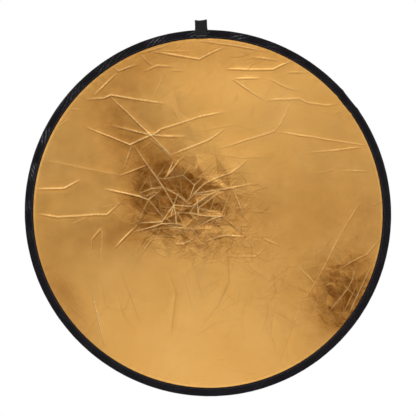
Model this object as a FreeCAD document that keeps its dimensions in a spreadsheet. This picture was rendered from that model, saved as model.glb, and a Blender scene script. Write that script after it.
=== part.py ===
"""Collapsible reflector disc, 600 mm across: a parametric FreeCAD document.

Two round cloths, gold in front and silver behind, are held flat by a hoop of flat spring steel.
The hoop lies in a channel of binding tape that is sewn round both cloths, and its two ends meet in
a crimped sleeve. A folded strip of webbing, sewn over the tape at the top, makes the hanging loop.

Frame: millimetres, +Z up, the gold face towards -Y. The origin is where a hook carries the disc,
under the crown of the hanging loop. The disc bends in two about a level line across its middle,
so every piece that the bend crosses is made as an upper and a lower half. Each half is a separate
solid that ends on the bend line, and the bend axis lies just in front of the whole disc.
"""
import FreeCAD, Part
import Sketcher
import math
import os

from FreeCAD import Placement, Rotation, Vector

# ---------------------------------------------------------------- driving dimensions (mm, degrees)

DRIVING_SIZES = {
    # the disc
    "disc_radius": 300.0,        # over the binding
    "binding_width": 14.0,       # radial width of the binding tape, seen from the front
    "nose_radius": 3.4,          # half of the rim's thickness, where the tape wraps the hoop
    "tape_thickness": 0.45,
    "flap_offset": 0.9,          # half of the rim's thickness at the tape's inner edge
    # the two cloths
    "cloth_radius": 292.0,       # the cloths run on into the channel, past the seam
    "cloth_thickness": 0.3,
    "cloth_offset": 0.08,        # from the middle plane to each cloth's inner face
    # the sprung hoop and its joint
    "band_radius": 296.8,        # to the middle of the steel
    "band_width": 4.2,
    "band_thickness": 0.8,
    "band_end_gap": 1.0,         # between the two ends, inside the sleeve
    "splice_angle": 36.4,        # above +X, seen from the front
    "sleeve_length": 38.0,
    "sleeve_wall": 0.3,
    "sleeve_slack": 0.05,
    "wrap_length": 46.0,
    "wrap_wall": 0.15,
    "wrap_slack": 0.02,
    # the seam
    "seam_radius": 288.2,
    "thread_radius": 0.25,
    "thread_clearance": 0.03,
    # the hanging loop
    "webbing_width": 20.0,
    "webbing_thickness": 1.0,
    "loop_rise": 16.0,           # from the top of the rim to the crown of the loop
    "loop_gap": 7.2,             # between the two legs
    "leg_start": 4.3,            # from the top of the rim to the lower end of the moving legs
    "tail_clearance": 0.8,       # from the tape's inner edge to the webbing, which rides over the seam
    "tack_width": 15.0,
    "tack_height": 1.6,
    "tack_thickness": 0.5,
    "tack_place": 3.5,           # from the webbing's end to the lower edge of the tack
}

document = FreeCAD.newDocument("reflector_disc")
sheet = document.addObject("Spreadsheet::Sheet", "sizes")
for row, (alias, number) in enumerate(DRIVING_SIZES.items(), start=1):
    sheet.set("A%d" % row, alias)
    sheet.set("B%d" % row, str(number))
    sheet.setAlias("B%d" % row, alias)
document.recompute()


def size(alias):
    """The number that the sheet holds under this alias."""
    return float(getattr(sheet, alias))


# ---------------------------------------------------------------- places worked out from the sizes

DISC_TOP = size("webbing_thickness") - size("loop_rise")
DISC_CENTRE = DISC_TOP - size("disc_radius")

# Everything round is made about its own Z axis and then stood up: this turn sends local Z to -Y
# and keeps local X along +X, so a local angle is the angle seen from the front.
FACING_FRONT = Rotation(Vector(1, 0, 0), 90)
HALVES = {"upper": 0.0, "lower": 180.0}


def standing(turn=0.0, forward=0.0):
    """The place of a round piece: about the disc's axis, turned, and moved towards the front."""
    turned = FACING_FRONT.multiply(Rotation(Vector(0, 0, 1), turn))
    return Placement(Vector(0, -forward, DISC_CENTRE), turned)


sub_parts = []


def keep(piece, label, place):
    """Give a finished sub-part its label and place, and put it on the list to be written."""
    piece.Label = label
    piece.Placement = place
    sub_parts.append(piece)
    return piece


# ---------------------------------------------------------------- helpers for sketches and rings

def origin_plane(body, role):
    """One of the body's own origin planes."""
    for feature in body.Origin.OriginFeatures:
        if feature.Role == role:
            return feature
    raise ValueError("no plane with the role " + role)


def new_sketch(body, name, role):
    """An empty sketch on an origin plane of its body."""
    sketch = body.newObject("Sketcher::SketchObject", name)
    sketch.AttachmentSupport = (origin_plane(body, role), [""])
    sketch.MapMode = "FlatFace"
    return sketch


def pin_point(sketch, edge, end, across, up):
    """Fix one end of an edge at two expressions, measured from the sketch's origin."""
    for kind, expression in (("DistanceX", across), ("DistanceY", up)):
        name = "%s_%d_%d" % (kind.lower(), edge, end)
        start = sketch.getPoint(edge, end)
        now = start.x if kind == "DistanceX" else start.y
        sketch.addConstraint(Sketcher.Constraint(kind, -1, 1, edge, end, now))
        sketch.renameConstraint(sketch.ConstraintCount - 1, name)
        sketch.setExpression("Constraints." + name, expression)


def ring_sector(name, radius, thickness, height, angle):
    """A flat hoop sector standing on the local XY plane: one cylinder cut from another."""
    rims = []
    for side, sign in (("outside", "+"), ("inside", "-")):
        rim = document.addObject("Part::Cylinder", name + "_" + side)
        rim.setExpression("Radius", "%s %s (%s) / 2" % (radius, sign, thickness))
        rim.setExpression("Height", height)
        rim.setExpression("Angle", angle)
        rims.append(rim)
    hoop = document.addObject("Part::Cut", name)
    hoop.Base, hoop.Tool = rims
    return hoop


# ---------------------------------------------------------------- the two cloths

def make_cloth(label, side, turn):
    """Half of one round cloth. The gold one is in front of the middle plane, the silver behind."""
    cloth = document.addObject("Part::Cylinder", label)
    cloth.setExpression("Radius", "sizes.cloth_radius")
    cloth.setExpression("Height", "sizes.cloth_thickness")
    cloth.Angle = 180
    front = size("cloth_offset")
    behind = -size("cloth_offset") - size("cloth_thickness")
    keep(cloth, label, standing(turn, front if side == "front" else behind))


# ---------------------------------------------------------------- binding tape

def make_binding(label, turn):
    """Half of the binding: a tape folded over the hoop, round at the nose, flat towards the seam.

    The section is sketched with the radius across and the disc's axis up, and turned half a turn.
    """
    nose_centre = size("disc_radius") - size("nose_radius")
    inner_edge = size("disc_radius") - size("binding_width")
    body = document.addObject("PartDesign::Body", label)
    sketch = new_sketch(body, label + "_section", "XZ_Plane")

    skins = {}
    for skin, radius, offset in (
            ("outer", size("nose_radius"), size("flap_offset")),
            ("inner", size("nose_radius") - size("tape_thickness"),
             size("flap_offset") - size("tape_thickness"))):
        reach = math.hypot(nose_centre - inner_edge, offset)
        tangent = math.pi - math.atan2(offset, nose_centre - inner_edge) - math.acos(radius / reach)
        touch = Vector(nose_centre + radius * math.cos(tangent), radius * math.sin(tangent), 0)
        edge = Vector(inner_edge, offset, 0)
        mirrored_touch = Vector(touch.x, -touch.y, 0)
        mirrored_edge = Vector(edge.x, -edge.y, 0)
        circle = Part.Circle(Vector(nose_centre, 0, 0), Vector(0, 0, 1), radius)
        front = sketch.addGeometry(Part.LineSegment(edge, touch))
        nose = sketch.addGeometry(Part.ArcOfCircle(circle, -tangent, tangent))
        back = sketch.addGeometry(Part.LineSegment(mirrored_touch, mirrored_edge))
        sketch.addConstraint(Sketcher.Constraint("Tangent", front, 2, nose, 2))
        sketch.addConstraint(Sketcher.Constraint("Tangent", nose, 1, back, 1))
        skins[skin] = (front, nose, back)
    for line, point in ((0, 1), (2, 2)):
        outer = skins["outer"][line]
        inner = skins["inner"][line]
        end = sketch.addGeometry(Part.LineSegment(sketch.getPoint(outer, point),
                                                  sketch.getPoint(inner, point)))
        sketch.addConstraint(Sketcher.Constraint("Coincident", end, 1, outer, point))
        sketch.addConstraint(Sketcher.Constraint("Coincident", end, 2, inner, point))

    edge_across = "sizes.disc_radius - sizes.binding_width"
    for skin, offset in (("outer", "sizes.flap_offset"),
                         ("inner", "(sizes.flap_offset - sizes.tape_thickness)")):
        pin_point(sketch, skins[skin][0], 1, edge_across, offset)
        pin_point(sketch, skins[skin][2], 2, edge_across, "-" + offset)
        pin_point(sketch, skins[skin][1], 3, "sizes.disc_radius - sizes.nose_radius", "0")

    turned = body.newObject("PartDesign::Revolution", label + "_turned")
    turned.Profile = sketch
    turned.ReferenceAxis = (sketch, ["V_Axis"])
    turned.Angle = 180
    keep(body, label, standing(turn))


# ---------------------------------------------------------------- sprung hoop and its joint

def make_band(label, turn, splice=None):
    """Half of the flat steel hoop. The half with the splice is parted by the gap of its ends."""
    name = label if splice is None else label + "_whole"
    band = ring_sector(name, "sizes.band_radius", "sizes.band_thickness",
                       "sizes.band_width", "180")
    if splice is not None:
        gap = document.addObject("Part::Box", label + "_end_gap")
        gap.setExpression("Length", "sizes.band_thickness * 4")
        gap.setExpression("Width", "sizes.band_end_gap")
        gap.setExpression("Height", "sizes.band_width")
        along = Rotation(Vector(0, 0, 1), splice)
        corner = Vector(size("band_radius") - size("band_thickness") * 2,
                        -size("band_end_gap") / 2, 0)
        gap.Placement = Placement(along.multVec(corner), along)
        parted = document.addObject("Part::Cut", label)
        parted.Base = band
        parted.Tool = gap
        band = parted
    keep(band, label, standing(turn, -size("band_width") / 2))


def make_tube_on_band(label, length, inner_slack, wall):
    """A flat tube round the band, centred on the splice: the crimped sleeve or its wrap.

    length names the sheet's cell for the tube's length. inner_slack and wall are expressions:
    the room inside the tube all round, and its thickness.
    """
    turned = math.degrees(size(length) / size("band_radius"))
    angle = "sizes.%s / sizes.band_radius * 180 / pi" % length
    bore = ring_sector(label + "_bore", "sizes.band_radius",
                       "sizes.band_thickness + 2 * (%s)" % inner_slack,
                       "sizes.band_width + 2 * (%s)" % inner_slack, angle)
    skin = ring_sector(label + "_skin", "sizes.band_radius",
                       "sizes.band_thickness + 2 * (%s + %s)" % (inner_slack, wall),
                       "sizes.band_width + 2 * (%s + %s)" % (inner_slack, wall), angle)
    bore.setExpression("Placement.Base.z", wall)
    tube = document.addObject("Part::Cut", label)
    tube.Base = skin
    tube.Tool = bore
    document.recompute()
    half_height = skin.Shape.BoundBox.ZLength / 2
    keep(tube, label, standing(size("splice_angle") - turned / 2, -half_height))


# ---------------------------------------------------------------- seam thread

def make_seam(label, side, turn):
    """Half of the thread that shows along the seam, lying on the slope of the tape."""
    nose_centre = size("disc_radius") - size("nose_radius")
    inner_edge = size("disc_radius") - size("binding_width")
    reach = math.hypot(nose_centre - inner_edge, size("flap_offset"))
    slope = (math.asin(size("nose_radius") / reach)
             - math.atan2(size("flap_offset"), nose_centre - inner_edge))
    surface = size("flap_offset") + (size("seam_radius") - inner_edge) * math.tan(slope)
    lift = (size("thread_radius") + size("thread_clearance")) / math.cos(slope)
    thread = document.addObject("Part::Torus", label)
    thread.setExpression("Radius1", "sizes.seam_radius")
    thread.setExpression("Radius2", "sizes.thread_radius")
    thread.Angle3 = 180
    forward = surface + lift
    keep(thread, label, standing(turn, forward if side == "front" else -forward))


# ---------------------------------------------------------------- hanging loop

def make_loop():
    """The moving part of the loop: two legs joined by a round crown, as wide as the webbing."""
    body = document.addObject("PartDesign::Body", "hang_loop")
    sketch = new_sketch(body, "hang_loop_side", "YZ_Plane")
    foot = DISC_TOP + size("leg_start")
    crown_centre = -size("loop_gap") / 2
    arcs = []
    legs = []
    for radius in (size("loop_gap") / 2 + size("webbing_thickness"), size("loop_gap") / 2):
        circle = Part.Circle(Vector(0, crown_centre, 0), Vector(0, 0, 1), radius)
        arc = sketch.addGeometry(Part.ArcOfCircle(circle, 0, math.pi))
        for end, side in ((1, 1), (2, -1)):
            leg = sketch.addGeometry(Part.LineSegment(Vector(side * radius, crown_centre, 0),
                                                      Vector(side * radius, foot, 0)))
            sketch.addConstraint(Sketcher.Constraint("Tangent", leg, 1, arc, end))
            legs.append((leg, side))
        arcs.append(arc)
    outer_legs, inner_legs = legs[:2], legs[2:]
    for (outer, _), (inner, _) in zip(outer_legs, inner_legs):
        foot_edge = sketch.addGeometry(Part.LineSegment(sketch.getPoint(outer, 2),
                                                        sketch.getPoint(inner, 2)))
        sketch.addConstraint(Sketcher.Constraint("Coincident", foot_edge, 1, outer, 2))
        sketch.addConstraint(Sketcher.Constraint("Coincident", foot_edge, 2, inner, 2))
    for leg, side in legs:
        across = "sizes.loop_gap / 2"
        if (leg, side) in outer_legs:
            across += " + sizes.webbing_thickness"
        foot_up = "sizes.webbing_thickness - sizes.loop_rise + sizes.leg_start"
        pin_point(sketch, leg, 2, "(%s) * %d" % (across, side), foot_up)
    for arc in arcs:
        pin_point(sketch, arc, 3, "0", "-sizes.loop_gap / 2")
    pad = body.newObject("PartDesign::Pad", "hang_loop_width")
    pad.Profile = sketch
    pad.SideType = "Symmetric"
    pad.setExpression("Length", "sizes.webbing_width")
    keep(body, "hang_loop", Placement())


def make_tail(label, side):
    """One sewn end of the webbing: up the slope of the tape, then straight to the rim's top."""
    nose_centre = DISC_CENTRE + size("disc_radius") - size("nose_radius")
    inner_edge = DISC_TOP - size("binding_width")
    low = size("flap_offset") + size("tail_clearance")
    high = size("loop_gap") / 2
    thick = size("webbing_thickness")
    outline = (
        (low, inner_edge,
         "sizes.flap_offset + sizes.tail_clearance",
         "sizes.webbing_thickness - sizes.loop_rise - sizes.binding_width"),
        (high, nose_centre,
         "sizes.loop_gap / 2",
         "sizes.webbing_thickness - sizes.loop_rise - sizes.nose_radius"),
        (high, DISC_TOP,
         "sizes.loop_gap / 2",
         "sizes.webbing_thickness - sizes.loop_rise"),
        (high + thick, DISC_TOP,
         "sizes.loop_gap / 2 + sizes.webbing_thickness",
         "sizes.webbing_thickness - sizes.loop_rise"),
        (high + thick, nose_centre,
         "sizes.loop_gap / 2 + sizes.webbing_thickness",
         "sizes.webbing_thickness - sizes.loop_rise - sizes.nose_radius"),
        (low + thick, inner_edge,
         "sizes.flap_offset + sizes.tail_clearance + sizes.webbing_thickness",
         "sizes.webbing_thickness - sizes.loop_rise - sizes.binding_width"),
    )
    body = document.addObject("PartDesign::Body", label)
    sketch = new_sketch(body, label + "_side", "YZ_Plane")
    corners = [Vector(side * across, up, 0) for across, up, _, _ in outline]
    lines = []
    for number, corner in enumerate(corners):
        following = corners[(number + 1) % len(corners)]
        lines.append(sketch.addGeometry(Part.LineSegment(corner, following)))
    for number, line in enumerate(lines):
        following = lines[(number + 1) % len(lines)]
        sketch.addConstraint(Sketcher.Constraint("Coincident", line, 2, following, 1))
        _, _, across, up = outline[number]
        pin_point(sketch, line, 1, "(%s) * %d" % (across, side), up)
    pad = body.newObject("PartDesign::Pad", label + "_width")
    pad.Profile = sketch
    pad.SideType = "Symmetric"
    pad.setExpression("Length", "sizes.webbing_width")
    keep(body, label, Placement())


def make_tacks():
    """The two rows of close stitches that hold the webbing, one on each face of the rim."""
    rise = size("binding_width") - size("nose_radius")
    run = size("loop_gap") / 2 - size("flap_offset") - size("tail_clearance")
    slope = math.degrees(math.atan2(run, rise))
    rows = []
    for name, side in (("front", -1), ("back", 1)):
        row = document.addObject("Part::Box", "tack_" + name)
        row.setExpression("Length", "sizes.tack_width")
        row.setExpression("Width", "sizes.tack_thickness")
        row.setExpression("Height", "sizes.tack_height")
        lean = Rotation(Vector(1, 0, 0), -side * slope)
        foot = Vector(0, side * (size("flap_offset") + size("tail_clearance")),
                      DISC_TOP - size("binding_width"))
        out = size("webbing_thickness") + size("thread_clearance")
        near = out if side > 0 else -out - size("tack_thickness")
        # The strip's outer face starts at the thickness of the webbing, square to the slope.
        corner = Vector(-size("tack_width") / 2, near, size("tack_place"))
        row.Placement = Placement(foot + lean.multVec(corner), lean)
        rows.append(row)
    both = document.addObject("Part::Compound", "loop_tacks")
    both.Links = rows
    keep(both, "loop_tacks", Placement())


# ---------------------------------------------------------------- the whole disc

for half, half_turn in HALVES.items():
    make_cloth("gold_face_" + half, "front", half_turn)
    make_cloth("silver_back_" + half, "back", half_turn)
    make_binding("binding_" + half, half_turn)
    make_seam("front_seam_" + half, "front", half_turn)
    make_seam("back_seam_" + half, "back", half_turn)

make_band("spring_band_upper", HALVES["upper"], splice=size("splice_angle"))
make_band("spring_band_lower", HALVES["lower"])
make_tube_on_band("splice_sleeve", "sleeve_length", "sizes.sleeve_slack", "sizes.sleeve_wall")
make_tube_on_band("splice_wrap", "wrap_length",
                  "sizes.sleeve_slack + sizes.sleeve_wall + sizes.wrap_slack",
                  "sizes.wrap_wall")

make_loop()
make_tail("loop_tail_front", -1)
make_tail("loop_tail_back", 1)
make_tacks()

# ---------------------------------------------------------------- check and write

document.recompute()
for thing in document.Objects:
    if "Invalid" in thing.State or "Error" in thing.State:
        raise RuntimeError("%s failed: %s" % (thing.Label, thing.State))
os.makedirs("parts", exist_ok=True)
for piece in sub_parts:
    if piece.Shape.isNull() or not piece.Shape.isValid():
        raise RuntimeError("%s has no valid shape" % piece.Label)
for piece in sub_parts:
    piece.Shape.exportStep("parts/%s.step" % piece.Label)
    box = piece.Shape.BoundBox
    print("%-22s %2d solid(s) %10.1f mm3  x %7.1f %7.1f  y %6.2f %6.2f  z %7.1f %7.1f" % (
        piece.Label, len(piece.Shape.Solids), piece.Shape.Volume,
        box.XMin, box.XMax, box.YMin, box.YMax, box.ZMin, box.ZMax))
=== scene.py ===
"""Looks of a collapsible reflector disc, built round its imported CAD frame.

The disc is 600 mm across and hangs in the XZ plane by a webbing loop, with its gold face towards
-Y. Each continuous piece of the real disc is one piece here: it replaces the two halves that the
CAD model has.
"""

import math

import bpy
import numpy as np
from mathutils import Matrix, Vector, noise
from mathutils.geometry import delaunay_2d_cdt


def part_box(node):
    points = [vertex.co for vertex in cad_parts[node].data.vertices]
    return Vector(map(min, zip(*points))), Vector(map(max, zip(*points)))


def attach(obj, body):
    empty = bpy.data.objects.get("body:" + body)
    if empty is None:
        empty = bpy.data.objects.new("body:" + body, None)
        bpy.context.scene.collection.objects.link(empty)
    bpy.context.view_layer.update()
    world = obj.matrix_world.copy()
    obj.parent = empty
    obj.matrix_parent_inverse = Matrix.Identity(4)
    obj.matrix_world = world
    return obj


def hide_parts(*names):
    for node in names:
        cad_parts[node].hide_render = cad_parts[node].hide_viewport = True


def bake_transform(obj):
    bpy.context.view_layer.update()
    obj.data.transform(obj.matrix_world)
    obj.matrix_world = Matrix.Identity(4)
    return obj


MM = 0.001

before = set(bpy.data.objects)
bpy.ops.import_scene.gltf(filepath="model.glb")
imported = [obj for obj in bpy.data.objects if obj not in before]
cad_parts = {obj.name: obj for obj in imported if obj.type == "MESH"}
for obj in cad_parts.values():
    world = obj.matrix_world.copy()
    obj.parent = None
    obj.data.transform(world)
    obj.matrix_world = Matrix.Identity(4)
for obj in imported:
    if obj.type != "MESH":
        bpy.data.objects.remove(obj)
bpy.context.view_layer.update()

# ------------------------------------------------------------------ sizes taken from the frame

rim_low, rim_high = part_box("binding_upper")
tail_low, tail_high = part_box("loop_tail_front")
cloth_low, cloth_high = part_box("gold_face_upper")
seam_low, seam_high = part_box("front_seam_upper")
band_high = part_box("spring_band_lower")[1]
sleeve_low, sleeve_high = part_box("splice_sleeve")
wrap_low, wrap_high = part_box("splice_wrap")
loop_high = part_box("hang_loop")[1]

CENTRE_Z = rim_low.z                              # the upper half ends on the disc's level line
RADIUS = (rim_high.x - rim_low.x) / 2
RIM_TOP = CENTRE_Z + RADIUS
INNER_EDGE = tail_low.z - CENTRE_Z                # radius of the binding's inner edge
NOSE = rim_high.y                                 # half of the rim's thickness
NOSE_CENTRE = RADIUS - NOSE                       # radius of the line that the nose is round about
CLOTH_RADIUS = cloth_high.x
CLOTH_OUTSIDE = -cloth_low.y                      # from the middle plane to the gold face
THREAD = (seam_high.y - seam_low.y) / 2           # radius of the sewing thread
SEAM_RADIUS = seam_high.x - THREAD
BAND_OUTSIDE = band_high.x
BAND_HALF_WIDTH = band_high.y
WEBBING_HALF = loop_high.x
LOOP_TOP = loop_high.z
LOOP_OUTSIDE = loop_high.y

sleeve_middle = (sleeve_low + sleeve_high) / 2
SPLICE_ANGLE = math.atan2(sleeve_middle.z - CENTRE_Z, sleeve_middle.x)
SLEEVE_HALF = math.hypot(sleeve_high.x - sleeve_low.x, sleeve_high.z - sleeve_low.z) / 2
WRAP_HALF = math.hypot(wrap_high.x - wrap_low.x, wrap_high.z - wrap_low.z) / 2

# ------------------------------------------------------------------ sizes that only the looks have

TAPE = 0.45 * MM              # thickness of the binding tape
FLAP_OFFSET = 0.9 * MM        # half of the rim's thickness at the tape's inner edge
BAND_THICKNESS = 0.8 * MM
WEBBING = 1.0 * MM            # thickness of the webbing
WEBBING_STEPS = 260           # how many places the webbing's line is worked out at
LEAN = math.radians(2.1)      # the disc hangs turned by this much, as the camera sees it
OVAL = 1.3 * MM               # how far out of round the hoop is
OVAL_AXIS = math.radians(133)  # the hoop is longest along this line
SPLICE_DIP = 0.8 * MM         # the stiff sleeve flattens the hoop by this much
SPLICE_KINK = 0.5 * MM        # and the hoop stands out by this much at the sleeve's ends
STITCHES = 452                # stitches in each row round the rim
PLEATS = 126                  # pleats of the tape round the rim
PLEAT_STEP = 0.8 * MM         # how far across the tape a pleat shifts by one radian of its wave
PLEAT_HEIGHT = 0.3 * MM
GLINT_CENTRE = math.radians(122)  # the highlights painted on the rim's pleats are strongest round this angle


# ------------------------------------------------------------------ numbers and meshes

def smooth(x):
    """A soft step from 0 to 1 as x goes from 0 to 1."""
    x = np.clip(x, 0, 1)
    return x * x * (3 - 2 * x)


def wander(angle, waves, seed):
    """Uneven waves round the disc, between about -1 and 1: a sum of sines of nearby counts."""
    chance = np.random.default_rng(seed)
    total = np.zeros_like(angle)
    for count in chance.choice(np.arange(waves // 2, waves * 3 // 2 + 1), 7):
        total += np.sin(count * angle + chance.uniform(0, 2 * math.pi))
    return total / 3.0


def out_of_round(angle):
    """How far the hoop stands out from a true circle at this angle."""
    oval = OVAL * np.cos(2 * (angle - OVAL_AXIS))
    off = np.abs((angle - SPLICE_ANGLE + math.pi) % (2 * math.pi) - math.pi) * RADIUS
    dip = -SPLICE_DIP * np.clip(1 - (off / SLEEVE_HALF) ** 2, 0, 1)
    kink = SPLICE_KINK * np.exp(-((off - SLEEVE_HALF) / (4 * MM)) ** 2)
    return oval + dip + kink


def on_disc(radius, angle, y):
    """Points of the disc at these radii and angles, with the hoop's uneven shape put in."""
    reached = radius + out_of_round(angle) * (radius / RADIUS) ** 3
    return np.stack([reached * np.cos(angle), y + 0 * reached,
                     CENTRE_Z + reached * np.sin(angle)], axis=-1)


def make_mesh(name, points, faces, uv=None):
    """A mesh object from arrays of points and faces, smooth shaded, with its pattern's UV."""
    mesh = bpy.data.meshes.new(name)
    faces = faces if isinstance(faces, list) else faces.tolist()
    mesh.from_pydata(np.asarray(points).reshape(-1, 3).tolist(), [], faces)
    if uv is not None:
        layer = mesh.uv_layers.new(name="pattern")
        corners = np.zeros(len(mesh.loops), np.int32)
        mesh.loops.foreach_get("vertex_index", corners)
        layer.data.foreach_set("uv", np.asarray(uv).reshape(-1, 2)[corners].astype(np.float32).ravel())
    mesh.polygons.foreach_set("use_smooth", np.ones(len(mesh.polygons), bool))
    mesh.validate()
    mesh.update()
    thing = bpy.data.objects.new(name, mesh)
    bpy.context.scene.collection.objects.link(thing)
    return thing


def grid_faces(rows, columns, closed_rows=False, closed_columns=False):
    """Quads of a grid of points that are numbered row by row."""
    down = np.arange(rows if closed_rows else rows - 1)
    along = np.arange(columns if closed_columns else columns - 1)
    i, j = np.meshgrid(down, along, indexing="ij")
    after_i, after_j = (i + 1) % rows, (j + 1) % columns
    corners = [i * columns + j, i * columns + after_j,
               after_i * columns + after_j, after_i * columns + j]
    return np.stack(corners, axis=-1).reshape(-1, 4)


def capped_faces(rows, columns):
    """Faces of a bar made of rings of points, with both of its ends closed."""
    first_ring = list(range(columns))
    last_ring = list(range((rows - 1) * columns, rows * columns))
    return grid_faces(rows, columns, closed_columns=True).tolist() + [first_ring[::-1], last_ring]


def unit(arrows):
    """Arrows of length 1 in the same directions."""
    return arrows / np.linalg.norm(arrows, axis=-1, keepdims=True)


def add_number(thing, name, values):
    """Keep one number for each point of a mesh, for its material to read."""
    field = thing.data.attributes.new(name, "FLOAT", "POINT")
    field.data.foreach_set("value", np.asarray(values, np.float32).ravel())


# ------------------------------------------------------------------ materials

class Nodes:
    """A node tree, with short calls to add nodes and to join them."""

    def __init__(self, tree):
        self.tree = tree

    def add(self, kind, **settings):
        node = self.tree.nodes.new("ShaderNode" + kind)
        for name, value in settings.items():
            setattr(node, name, value)
        return node

    def join(self, source, target):
        self.tree.links.new(source, target)

    def maths(self, operation, first, second):
        """A number from two others, each a number or a socket."""
        node = self.add("Math", operation=operation)
        for socket, value in zip(node.inputs, (first, second)):
            if isinstance(value, (int, float)):
                socket.default_value = value
            else:
                self.join(value, socket)
        return node.outputs["Value"]


class Surface(Nodes):
    """A material's nodes, which read the pattern's coordinates and end in one shader."""

    def __init__(self, name, **settings):
        self.material = bpy.data.materials.new(name)
        self.material.use_nodes = True
        super().__init__(self.material.node_tree)
        self.shader = self.tree.nodes["Principled BSDF"]
        for socket, value in settings.items():
            self.shader.inputs[socket.replace("_", " ")].default_value = value

    def uv(self, across=1.0, along=1.0):
        """The pattern's coordinates, in metres, stretched by these amounts."""
        source = self.add("UVMap", uv_map="pattern")
        scaled = self.add("VectorMath", operation="MULTIPLY")
        scaled.inputs[1].default_value = (across, along, 1.0)
        self.join(source.outputs["UV"], scaled.inputs[0])
        return scaled.outputs["Vector"]

    def noise(self, place, scale, detail=3.0, roughness=0.55, distortion=0.0):
        node = self.add("TexNoise")
        node.inputs["Scale"].default_value = scale
        node.inputs["Detail"].default_value = detail
        node.inputs["Roughness"].default_value = roughness
        node.inputs["Distortion"].default_value = distortion
        self.join(place, node.inputs["Vector"])
        return node.outputs["Fac"]

    def patches(self, place, scale, low, high, detail=3.0):
        """A noise that goes softly from low to high and back."""
        return self.spread(self.noise(place, scale, detail), 0.3, 0.7, low, high)

    def wave(self, place, scale, direction, distortion=0.0):
        node = self.add("TexWave", bands_direction=direction)
        node.inputs["Scale"].default_value = scale
        node.inputs["Distortion"].default_value = distortion
        self.join(place, node.inputs["Vector"])
        return node.outputs["Fac"]

    def spread(self, value, low, high, to_low, to_high):
        """Bring a number from one range to another, held at the ends."""
        node = self.add("MapRange", clamp=True)
        for socket, number in zip(("From Min", "From Max", "To Min", "To Max"),
                                  (low, high, to_low, to_high)):
            node.inputs[socket].default_value = number
        self.join(value, node.inputs["Value"])
        return node.outputs["Result"]

    def mix(self, share, first, second):
        """Mix two colours, each a tuple or a socket: the Mix node's inputs 6 and 7, and output 2."""
        node = self.add("Mix", data_type="RGBA")
        for socket, value in ((node.inputs[0], share), (node.inputs[6], first),
                              (node.inputs[7], second)):
            if isinstance(value, (tuple, float)):
                socket.default_value = value + (1.0,) if isinstance(value, tuple) else value
            else:
                self.join(value, socket)
        return node.outputs[2]

    def colour(self, value):
        self.join(value, self.shader.inputs["Base Color"])

    def roughness(self, value):
        self.join(value, self.shader.inputs["Roughness"])

    def bump(self, layers):
        """Stack bumps: each layer is a height socket, its strength and its distance in metres."""
        normal = None
        for height, strength, distance in layers:
            node = self.add("Bump")
            node.inputs["Strength"].default_value = strength
            node.inputs["Distance"].default_value = distance
            self.join(height, node.inputs["Height"])
            if normal is not None:
                self.join(normal, node.inputs["Normal"])
            normal = node.outputs["Normal"]
        self.join(normal, self.shader.inputs["Normal"])


def coated_cloth(name, pale, deep, half_shade_tone, deep_shade_tone, worn_and_highlight_tone):
    """Thin cloth with a metal coating: uneven tone, painted shade and dark reflections where it is
    folded most, pale creases from worn coating and a painted highlight, a fine weave.
    """
    nodes = Surface(name)
    place = nodes.uv()
    tone = nodes.patches(place, 9.0, 0.0, 1.0, detail=4.0)
    mottle = nodes.spread(nodes.noise(place, 120.0), 0.35, 0.75, 0.0, 0.35)
    base = nodes.mix(tone, pale, deep)
    base = nodes.mix(mottle, base, deep)
    # Painted shade and dark reflections: the colour is mixed towards two darker tones where they are
    # laid.
    painted_shade = nodes.add("Attribute", attribute_name="painted_shade").outputs["Fac"]
    painted_shade = nodes.maths("MULTIPLY", painted_shade, nodes.patches(place, 60.0, 0.75, 1.1, detail=5.0))
    base = nodes.mix(nodes.spread(painted_shade, 0.0, 0.5, 0.0, 1.0), base, half_shade_tone)
    base = nodes.mix(nodes.spread(painted_shade, 0.5, 1.0, 0.0, 1.0), base, deep_shade_tone)
    # Pale along the creases: partly the coating worn through, partly a painted highlight.
    crease = nodes.add("Attribute", attribute_name="crease").outputs["Fac"]
    patchiness = nodes.spread(nodes.noise(place, 300.0, detail=2.0), 0.35, 0.65, 0.6, 1.1)
    wear_and_highlight = nodes.maths("MULTIPLY", nodes.maths("POWER", crease, 1.25), patchiness)
    nodes.colour(nodes.mix(wear_and_highlight, base, worn_and_highlight_tone))
    nodes.join(nodes.spread(wear_and_highlight, 0.0, 1.0, 1.0, 0.8), nodes.shader.inputs["Metallic"])
    smears = nodes.patches(place, 25.0, -0.03, 0.05, detail=5.0)
    dulled = nodes.spread(nodes.maths("MAXIMUM", wear_and_highlight, painted_shade), 0.0, 1.0, 0.21, 0.29)
    nodes.roughness(nodes.maths("ADD", dulled, smears))
    weave = nodes.maths("MULTIPLY", nodes.wave(place, 900.0, "X"), nodes.wave(place, 900.0, "Y"))
    crinkle = nodes.noise(place, 120.0, detail=2.0, distortion=0.6)
    nodes.bump([(crinkle, 0.08, 0.3 * MM), (weave, 0.1, 0.04 * MM)])
    return nodes.material


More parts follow.
